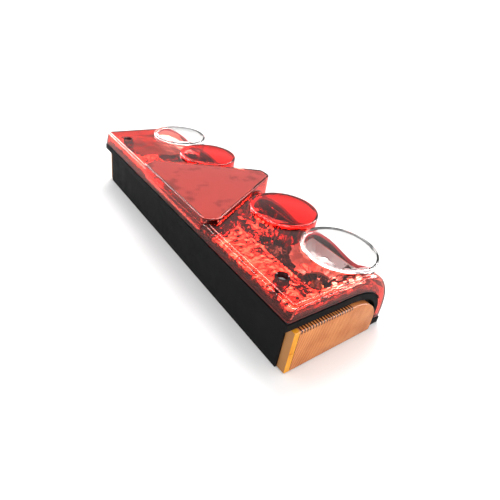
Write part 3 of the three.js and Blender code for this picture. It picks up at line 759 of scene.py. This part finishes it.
# ---- triangle
def triangle_outline(inset, side=168.0, base=0.5, cut=16.5, corner=5.0):
    """Equal-sided triangle with its corners cut off and rounded, moved in by inset, as (x, y) points."""
    centre = Vector((0, NEAR + base + side / (2 * math.sqrt(3))))
    shrink = 1 - inset * 2 * math.sqrt(3) / side
    raw = [(-side / 2, NEAR + base), (side / 2, NEAR + base), (0, NEAR + base + side * math.sqrt(3) / 2)]
    corners = [centre + (Vector(p) - centre) * shrink for p in raw]

    def toward(a, b, distance):
        return a + (b - a).normalized() * distance

    off = cut - inset * 1.2
    trimmed = []
    for i, point in enumerate(corners):
        trimmed += [toward(point, corners[i - 1], off), toward(point, corners[(i + 1) % 3], off)]
    r = max(corner - inset, 1.5)
    out = []
    for i, point in enumerate(trimmed):
        start = toward(point, trimmed[i - 1], r)
        end = toward(point, trimmed[(i + 1) % 6], r)
        following = toward(trimmed[(i + 1) % 6], point, r)
        out += [quadratic(start, point, end, k / 6) for k in range(6)]
        count = 40 if i % 2 else 4
        out += [tuple(end.lerp(following, k / count)) for k in range(count)]
    return out


def make_triangle():
    """The raised triangle: a hollow window that stands on the lens, with an opaque underside to its face."""
    top = span("triangle_cap")[1][2]
    edge = 1.2
    outline = triangle_outline(0)
    rings = [[(x, y, front_height(y)) for x, y in outline]]
    for i in range(6):
        a = math.pi / 2 * i / 5
        z = top - edge * (1 - math.sin(a))
        rings.append([(x, y, z) for x, y in triangle_outline(edge * (1 - math.cos(a)))])
    inner = triangle_outline(WALL)
    rings_in = [[(x, y, top - WALL) for x, y in inner], [(x, y, front_height(y)) for x, y in inner]]
    count = len(outline)
    verts = [p for ring in rings + rings_in for p in ring]
    faces = faces_between(len(rings), count)
    start = (len(rings) - 1) * count
    faces.append(tuple(range(start, start + count)))
    inside = len(rings) * count
    faces.append(tuple(reversed(range(inside, inside + count))))
    faces += [tuple(inside + k for k in face) for face in faces_between(2, count)]
    low = inside + count
    faces += [(low + i, low + (i + 1) % count, (i + 1) % count, i) for i in range(count)]
    cap = mesh_object("triangle_window", (verts, faces))
    finish_piece(cap, "lens_cover", RED, ["triangle_cap"], sharp_deg=40)
    cap.data.materials.append(RED_UNDERSIDE)
    for face in cap.data.polygons:
        if face.normal.z < -0.9 and face.center.z > (top - WALL - 0.1) * MM:
            face.material_index = 1


# ---- reflectors
def sheet_between(outer, inner):
    """A closed sheet from two grids of points, rows by columns, of the same size."""
    rows, columns = len(outer), len(outer[0])
    verts = [p for row in outer for p in row] + [p for row in inner for p in row]
    size = rows * columns
    faces = []
    for r in range(rows - 1):
        for c in range(columns - 1):
            a, b = r * columns + c, (r + 1) * columns + c
            faces.append((a, a + 1, b + 1, b))
            faces.append((size + a, size + b, size + b + 1, size + a + 1))
    edge = [(0, c) for c in range(columns)] + [(r, columns - 1) for r in range(1, rows)]
    edge += [(rows - 1, c) for c in range(columns - 2, -1, -1)] + [(r, 0) for r in range(rows - 2, 0, -1)]
    loop = [r * columns + c for r, c in edge]
    for a, b in zip(loop, loop[1:] + loop[:1]):
        faces.append((a, b, size + b, size + a))
    return verts, faces


def on_smooth_panel(x, y):
    """The part of the left reflector beside its end that is smooth."""
    return x < -122 and NEAR + 20 < y < NEAR + 80


def plate_solid(side, columns=62):
    """The plate under the lens, as a smooth sheet of small squares."""
    start, end = mirrored(side, REFLECTOR_START, REFLECTOR_END)
    stations = [start + (end - start) * c / (columns - 1) for c in range(columns)]
    outer, inner = [[[(x, y, z) for x in stations] for y, z in reflector_path(depth)] for depth in (0, SKIN)]
    return sheet_between(outer, inner)


def crush(obj, chance, depth=1.0, shift=0.7):
    """Pushes the front of a plate in at random, as in crushed foil, except along its edges."""
    work = bmesh.new()
    work.from_mesh(obj.data)
    work.normal_update()
    for vert in work.verts:
        if all(face.normal.z > 0.1 for face in vert.link_faces):
            rough = (0.1 if on_smooth_panel(*(vert.co / MM).xy) else 1.0) * MM
            aside = Vector((chance.uniform(-shift, shift), chance.uniform(-shift, shift), 0))
            vert.co += (aside - vert.normal * chance.uniform(0, depth)) * rough
    work.to_mesh(obj.data)
    work.free()


def tray_block(side, inset):
    """The sunken tray's upright walls moved in by inset, as a solid block."""
    x0, x1 = mirrored(side, TRAY_MID + inset, TRAY_END - inset)
    plan = rounded_plan(x0, x1, TRAY_NEAR + inset, TRAY_FAR - inset, TRAY_ROUND - inset)
    return loft([[(x, y, z) for x, y in plan] for z in (10, PLATE_Z + 20)])


def cell_reach(x, angle):
    """Distance from a bulb to the edge of its own part of the tray, in the direction of angle."""
    dx, dy = math.cos(angle), math.sin(angle)
    distance = abs(x)  # of the bulb from the lamp's middle
    inner_bulb = distance < CELL_EDGE
    if dx * x > 0:
        to_side = (CELL_EDGE if inner_bulb else TRAY_END) - distance
    else:
        to_side = distance - (TRAY_MID if inner_bulb else CELL_EDGE)
    to_rim = (TRAY_FAR - BULB_Y) if dy > 0 else (BULB_Y - TRAY_NEAR)
    return min(to_side / max(abs(dx), 1e-6), to_rim / max(abs(dy), 1e-6))


def above_dish(x, chance, jitter=0.45):
    """Everything above one bulb's part of the tray floor: creased petals that rise to the cell's edge."""
    columns = PETALS * 4
    rings = []
    for k in range(16):
        r = DISH_HOLE_R - 3 if k == 0 else DISH_HOLE_R + 5.5 * (k - 1)
        ring = []
        for i, a in enumerate(angles(columns)):
            crease = abs((i % 4) / 2 - 1)
            lift = 2.4 * (1 - crease) * min(r / 40, 1.2)
            rim = max(0.0, (min(r / cell_reach(x, a), 1.0) - 0.7) / 0.3)
            z = DISH_Z + r * r / DISH_SPREAD + lift + RIDGE * rim * rim + chance.uniform(-jitter, jitter)
            ring.append((x + r * math.cos(a), BULB_Y + r * math.sin(a), z))
        rings.append(ring)
    top = [[(px, py, PLATE_Z + 30) for px, py, _ in ring] for ring in (rings[-1], rings[0])]
    return loft(rings + top)


def reflector_limit(side):
    """The space under the reflector's outer face, which the tray is trimmed to."""
    path = reflector_path(0)
    outline = [(path[0][0], 20)] + path + [(path[-1][0], 20)]
    return prism_x(outline, *mirrored(side, REFLECTOR_START, REFLECTOR_END))


def carved_solid(solid, steps):
    """A solid after boolean steps, for use in further ones."""
    tool = mesh_object("block", solid)
    carve(tool, steps)
    out = ([tuple(v.co / MM) for v in tool.data.vertices], [tuple(p.vertices) for p in tool.data.polygons])
    bpy.data.objects.remove(tool, do_unlink=True)
    return out


def cell_block(x, side, inset):
    """The tray block on one bulb's side of the ridge between the two cells."""
    middle = side * CELL_EDGE
    x0, x1 = (-BEYOND, middle) if x < middle else (middle, BEYOND)
    half = box_solid(x0, x1, -BEYOND, BEYOND, -50, 200)
    return carved_solid(tray_block(side, inset), [(KEEP, half)])


def make_reflector_end(word, side):
    """The foil wall that closes the reflector at the lamp's end."""
    outline = [(y, z - 0.1) for y, z in reflector_path(SKIN)] + [(NEAR + 60, 15)]
    ends = mirrored(side, END_FOIL_START, END_FOIL_END)
    wall = mesh_object(f"reflector_end_{word}", prism_x(outline, *ends))
    carve(wall, [(CUT, prism_x(under_parting(-0.6), -BEYOND, BEYOND))])
    finish_piece(wall, "housing", FOIL)


def make_dish(name, side, chance):
    """One bulb's part of the tray's floor."""
    x = BULB_X[name]
    bed = [(r, DISH_Z - SKIN - 0.6 + r * r / DISH_SPREAD) for r in range(6, 96, 6)]
    bed = [(0, DISH_Z - 6)] + bed + [(90, 95), (0, 95)]
    above = carved_solid(above_dish(x, chance), [(KEEP, tray_block(side, SKIN))])
    cell = mesh_object(f"reflector_dish_{name}", cell_block(x, side, 0))
    carve(cell, [
        (KEEP, reflector_limit(side)),
        (KEEP, turned(bed, x, BULB_Y, 96)),
        (CUT, above),
        (CUT, rod(DISH_HOLE_R, 10, 90, x, BULB_Y, 96)),
    ])
    finish_piece(cell, "housing", FOIL, smooth=False)
    cell.data.materials.append(BRIGHT_PAINTED_DISH)
    cell.data.materials.append(DIM_REFLECTION_GREY)
    for face in cell.data.polygons:
        at = face.center / MM
        # Round patch of painted bright reflection in each outer dish.
        in_bright_patch = math.hypot(at.x - x + 26, at.y - BULB_Y - 20) < BRIGHT_PATCH_R
        if name.endswith("outer") and in_bright_patch:
            face.material_index = 1
        # The smooth patch gets the painted dim reflection.
        elif on_smooth_panel(at.x, at.y):
            face.material_index = 2


def make_reflector(word, side):
    chance = random.Random(7 + side)
    plate = mesh_object(f"reflector_plate_{word}", plate_solid(side))
    carve(plate, [
        (CUT, tray_block(side, 0.05)),
        (CUT, rod(TUBE_R + 1, 20, 80, side * WELL_X, WELL_Y, 40)),
        (CUT, box_solid(-210, 210, NEAR + 118.6, FAR + 10, 0, 30)),
    ])
    crush(plate, chance)
    finish_piece(plate, "housing", FOIL, [f"reflector_{word}"], smooth=False)
    plate.data.materials.append(DIM_REFLECTION_GREY)
    # The smooth patch gets the painted dim reflection.
    for face in plate.data.polygons:
        if on_smooth_panel(*(face.center / MM).xy):
            face.material_index = 1
    make_reflector_end(word, side)
    for name, x in BULB_X.items():
        if x * side > 0:
            make_dish(name, side, chance)


# ---- bulbs
def make_bulb(name):
    """A bayonet bulb: glass, brass base with its two pins, and a coiled filament on a glass stem."""
    x = BULB_X[name]
    body = f"bulb_{name}"
    globe_r, wall = 13.2, 0.7
    outer = [(6.4, 23.5), (6.4, 28), (6.9, 30), (8.6, 33.5), (10.8, 37.2), (12.4, 41.5)]
    outer += [
        (globe_r * math.cos(math.radians(a)), FILAMENT_Z + globe_r * math.sin(math.radians(a)))
        for a in range(0, 91, 9)
    ]
    outer[-1] = (0, outer[-1][1])
    inner = [
        (max(r - wall, 0), z - (wall if r < 3 else wall / 2 if z > FILAMENT_Z else 0)) for r, z in outer
    ]
    glass = mesh_object(f"glass_{name}", turned(outer + inner[::-1], x, BULB_Y, 64))
    finish_piece(glass, body, GLASS, [f"bulb_glass_{name}"], sharp_deg=60)

    profile = [(0, 8.6), (2.6, 8.6), (3.0, 9), (3.4, 9.8), (6.9, 9.9), (7.5, 10.6), (7.5, 24.6), (7.5, 25)]
    profile += [(7.5, 25.6), (7.5, 26), (7.5, 27), (6.8, 27), (6.8, 22), (0, 22)]
    base = mesh_object(f"base_{name}", turned(profile, x, BULB_Y, 64))
    pin = [[(x + px, BULB_Y + math.cos(a), 15 + math.sin(a)) for a in angles(16)] for px in (-8.7, 8.7)]
    carve(base, [(ADD, loft(pin))])
    finish_piece(base, body, BRASS, [f"bulb_base_{name}"])

    profile = [(0, 22.5), (3.4, 22.5), (2.6, 25), (2, 28), (1.8, 34.5), (1.2, 35.8), (0, 36)]
    stem = turned(profile, x, BULB_Y, 32)
    wires = []
    for side in (-1, 1):
        route = [(1.1, 34.5), (2.2, 39), (4.2, FILAMENT_Z - 1.2), (4.2, FILAMENT_Z)]
        wires.append(loft([
            [(x + side * wx + 0.35 * math.cos(a), BULB_Y + 0.35 * math.sin(a), z) for a in angles(10)]
            for wx, z in route
        ]))
    turns, around, coil_r, thick = 11, 12, 0.5, 0.14
    coil = []
    for i in range(turns * around + 1):
        a = 2 * math.pi * i / around
        out = Vector((0, math.cos(a), math.sin(a)))
        centre = Vector((x - 4 + 8 * i / (turns * around), BULB_Y, FILAMENT_Z)) + out * coil_r
        along = Vector((thick, 0, 0))
        coil.append([tuple(centre + out * thick * math.cos(b) + along * math.sin(b)) for b in angles(6)])
    filament = mesh_object(f"filament_{name}", joined(stem, *wires, loft(coil)))
    finish_piece(filament, body, STEEL, [f"bulb_filament_{name}"])


# ---- end plates
def side_outline(inset, steps=24):
    """The end plate's outline in (y, z) moved in by inset: one round upper corner."""
    near, far = PLATE_NEAR + inset, PLATE_FAR - inset
    high, low = PLATE_HIGH - inset, PLATE_LOW + inset
    curve = ((NEAR + 80, high - 1), (NEAR + 100, high - 1.5), (far - 1, 33), (far - 0.5, 16))
    arc = [cubic(*curve, i / steps) for i in range(steps + 1)]
    return [(near, low), (near, high), (NEAR + 44, high - 0.5)] + arc + [(far, low)]


def make_side_lens(word, side):
    """An end plate: a shell with rounded edges, a notch in its near edge and a groove by the strip."""
    x, edge = PLATE_OUTER_X, 0.9
    rings = [[(side * PLATE_INNER_X, py, z) for py, z in side_outline(0)]]
    for i in range(5):
        a = math.pi / 2 * i / 4
        px = side * (x - edge * (1 - math.sin(a)))
        rings.append([(px, py, z) for py, z in side_outline(edge * (1 - math.cos(a)))])
    plate = mesh_object(f"amber_lens_{word}", loft(rings))
    ends = (side * (PLATE_INNER_X - 1), side * (x - WALL))
    hollow = loft([[(px, py, z) for py, z in side_outline(WALL)] for px in ends])
    middle = (PLATE_LOW + PLATE_HIGH) / 2
    notch = box_solid(*mirrored(side, x - 0.6, x + 1), PLATE_NEAR - 1, STRIP_Y, middle - 0.4, middle + 0.4)
    groove = box_solid(*mirrored(side, x - 0.4, x + 1), STRIP_Y - 0.3, STRIP_Y + 0.3, 3, PLATE_HIGH - 1.4)
    carve(plate, [(CUT, hollow), (CUT, notch), (CUT, groove)])
    finish_piece(plate, "housing", AMBER_PLATE, [f"side_lens_{word}"])


# ---- screws
def make_screw(word, side):
    """A cross-headed cover screw."""
    seat = WELL_FLOOR_Z + GAP
    x = side * WELL_X
    core_r, thread_r, pitch = 1.6, 1.98, 1.2
    profile = [(0, 14), (0.5, 14), (1.3, 14.8), (core_r, 16)]
    z = 16.0
    while z < 36:
        profile += [(core_r, z + 0.2), (thread_r, z + 0.55), (core_r, z + 0.9)]
        z += pitch
    profile += [(core_r, 37.5), (2, 38), (2, seat), (3.8, seat), (4, seat + 0.2), (4, seat + 1.5)]
    profile += [(3.7, seat + 2.2), (2.8, seat + 2.8), (1.5, seat + 3.1), (0, seat + 3.2)]
    screw = mesh_object(f"screw_{word}", turned(profile, x, WELL_Y, 48))
    carve(screw, [
        (CUT, box_solid(x - dx, x + dx, WELL_Y - dy, WELL_Y + dy, seat + 1.4, seat + 6))
        for dx, dy in ((2.2, 0.45), (0.45, 2.2))
    ])
    finish_piece(screw, f"screw_{word}", STEEL, [f"cover_screw_{word}"])


# ---- CAD nodes that keep their shape
def paint_cad():
    finishes = {
        "black_plastic": BLACK, "rubber": RUBBER, "red_lens": RED, "clear_lens": CLEAR,
        "reflex_red": RED_REFLEX, "amber_lens": AMBER_PLATE, "chrome": FOIL, "bulb_glass": GLASS,
        "brass": BRASS, "steel": STEEL,
    }
    for entry in frame["record"]["subparts"]:
        materials = frame["nodes"][entry["node"]].data.materials
        finish = finishes[entry["material_slot"]]
        if not materials:
            materials.append(finish)
        for i in range(len(materials)):
            materials[i] = finish


# ---- stage, light and camera
def make_stage():
    """A white floor without an edge in sight. Mirrored in the lamp's outside it looks darker than it is,
    so that the red plastic isn't washed out."""
    reach = 60000
    corners = [(-reach, -reach, 0), (reach, -reach, 0), (reach, reach, 0), (-reach, reach, 0)]
    floor = mesh_object("floor", (corners, [(0, 1, 2, 3)]))
    material, tree, shader = new_material("floor")
    path = tree.nodes.new("ShaderNodeLightPath")
    entered = link_math(tree, "MINIMUM", path.outputs["Transmission Depth"], 1.0)
    in_mirror = link_product(tree, path.outputs["Is Reflection Ray"], path.outputs["Is Glossy Ray"])
    outside = link_math(tree, "SUBTRACT", in_mirror, entered)
    outside.node.use_clamp = True
    link_mix(tree, outside, (0.88, 0.88, 0.88), (0.3, 0.3, 0.3), shader.inputs["Base Color"])
    shader.inputs["Roughness"].default_value = 0.9
    shader.inputs["Specular IOR Level"].default_value = 0.1
    floor.data.materials.append(material)
    floor.location.z = -0.0002


def make_world():
    """A white studio with its unlit side behind the camera.

    Matt surfaces see it evenly white, so that the floor has no edge. Four narrow panels make lines along the
    lens's polished edges, and small bright lamps, seen only from inside the lens, make the foil sparkle.
    """
    world = bpy.data.worlds.new("studio")
    bpy.context.scene.world = world
    world.use_nodes = True
    tree = world.node_tree
    view = tree.nodes.new("ShaderNodeTexCoord").outputs["Generated"]
    path = tree.nodes.new("ShaderNodeLightPath").outputs
    x, y, z = parts_of(tree, view)

    def patch(direction, start, end, low, high):
        """Brightness that runs from low to high as the view turns towards direction."""
        facing = tree.nodes.new("ShaderNodeVectorMath")
        facing.operation = "DOT_PRODUCT"
        facing.inputs[1].default_value = Vector(direction).normalized()
        tree.links.new(view, facing.inputs[0])
        return link_range(tree, facing.outputs["Value"], start, end, low, high)

    def between(source, low, high, soft=0.04):
        """1 where source is between low and high, with soft edges."""
        rise = link_range(tree, source, low - soft, low + soft, 0.0, 1.0)
        return link_product(tree, rise, link_range(tree, source, high - soft, high + soft, 1.0, 0.0))

    def panel(brightness, *limits):
        return link_product(tree, *[between(*limit) for limit in limits], brightness)

    def either(share, yes, no):
        rest = link_math(tree, "SUBTRACT", 1.0, share)
        return link_math(tree, "ADD", link_product(tree, share, yes), link_product(tree, rest, no))

    dusk = link_range(tree, z, 0.08, 0.42, 0.3, 1.0)
    outside = link_product(tree, patch((0.669, -0.5445, 0.4), 0.15, 0.5, WHITE * 0.4, UNLIT), dusk)
    for brightness, *limits in (
        (10.0, (y, -0.18, 0.12), (x, -2, -0.3)),
        (8.0, (x, 0.0, 0.3), (y, 0.3, 2)),
        (12.0, (y, -2, -0.2), (z, 0.04, 0.2)),
        (12.0, (x, 0.15, 2), (z, 0.04, 0.2)),
    ):
        outside = link_math(tree, "ADD", outside, panel(brightness, *limits))
    inside = patch((0.669, -0.5445, 0.35), 0.2, 0.6, WHITE, UNLIT)
    for lamp in (
        (-0.669, 0.5445, 0.5055), (-0.3, 0.55, 0.78), (-0.5, 0.8, 0.3), (-0.85, 0.45, 0.25), (-0.42, 0.6, 0.68)
    ):
        inside = link_math(tree, "ADD", inside, patch(lamp, 0.979, 0.987, 0.0, SPARKLE))
    entered = link_math(tree, "GREATER_THAN", path["Transmission Depth"], 2.5)
    straight = link_math(tree, "LESS_THAN", path["Glossy Depth"], 0.5)
    scattered = link_math(tree, "GREATER_THAN", path["Diffuse Depth"], 0.5)
    plain = link_math(tree, "MAXIMUM", straight, scattered)
    light = either(plain, WHITE, either(entered, inside, outside))
    back = tree.nodes["Background"]
    tree.links.new(light, back.inputs["Color"])


def add_sun():
    """A soft lamp high behind the object, far enough away to light the whole floor alike."""
    data = bpy.data.lights.new("panel", "SUN")
    data.energy = 1.2
    data.angle = math.radians(24)
    light = bpy.data.objects.new("panel", data)
    bpy.context.scene.collection.objects.link(light)
    light.rotation_euler = Vector((0.62, -0.45, -1.25)).to_track_quat("-Z", "Y").to_euler()
    light.visible_glossy = False


def make_camera():
    """The photograph's view, from a fit to the lamp's corners and windows."""
    azimuth, elevation, roll = math.radians(50.87), math.radians(30.36), math.radians(9.0)
    level = math.cos(elevation)
    back = Vector((math.sin(azimuth) * level, -math.cos(azimuth) * level, math.sin(elevation)))
    right = (-back).cross(Vector((0, 0, 1))).normalized()
    up = right.cross(-back)
    right, up = (
        right * math.cos(roll) + up * math.sin(roll),
        up * math.cos(roll) - right * math.sin(roll),
    )
    data = bpy.data.cameras.new("camera")
    data.sensor_width = 36
    data.lens = 28.39
    data.shift_x = 0.0282
    data.shift_y = -0.0486
    data.clip_start = 0.02
    camera = bpy.data.objects.new("camera", data)
    bpy.context.scene.collection.objects.link(camera)
    place = Vector((0.3406, -0.2475, 0.266))
    turn = Matrix((right, up, back)).transposed().to_4x4()
    camera.matrix_world = Matrix.Translation(place) @ turn
    bpy.context.scene.camera = camera


make_camera()
paint_cad()
make_lens()
for cap_name in CAPS:
    outer_cap = cap_name.endswith("outer")
    make_cap(cap_name, CLEAR if outer_cap else RED_CAP)
make_triangle()
for word, side in (("left", -1), ("right", 1)):
    make_reflector(word, side)
    make_side_lens(word, side)
    make_screw(word, side)
for bulb_name in BULB_X:
    make_bulb(bulb_name)
make_stage()
make_world()
add_sun()

scene = bpy.context.scene
scene.view_settings.view_transform = "Standard"
scene.view_settings.exposure = 0.25
scene.cycles.max_bounces = 24
scene.cycles.transmission_bounces = 20
scene.cycles.transparent_max_bounces = 24
scene.cycles.caustics_refractive = True
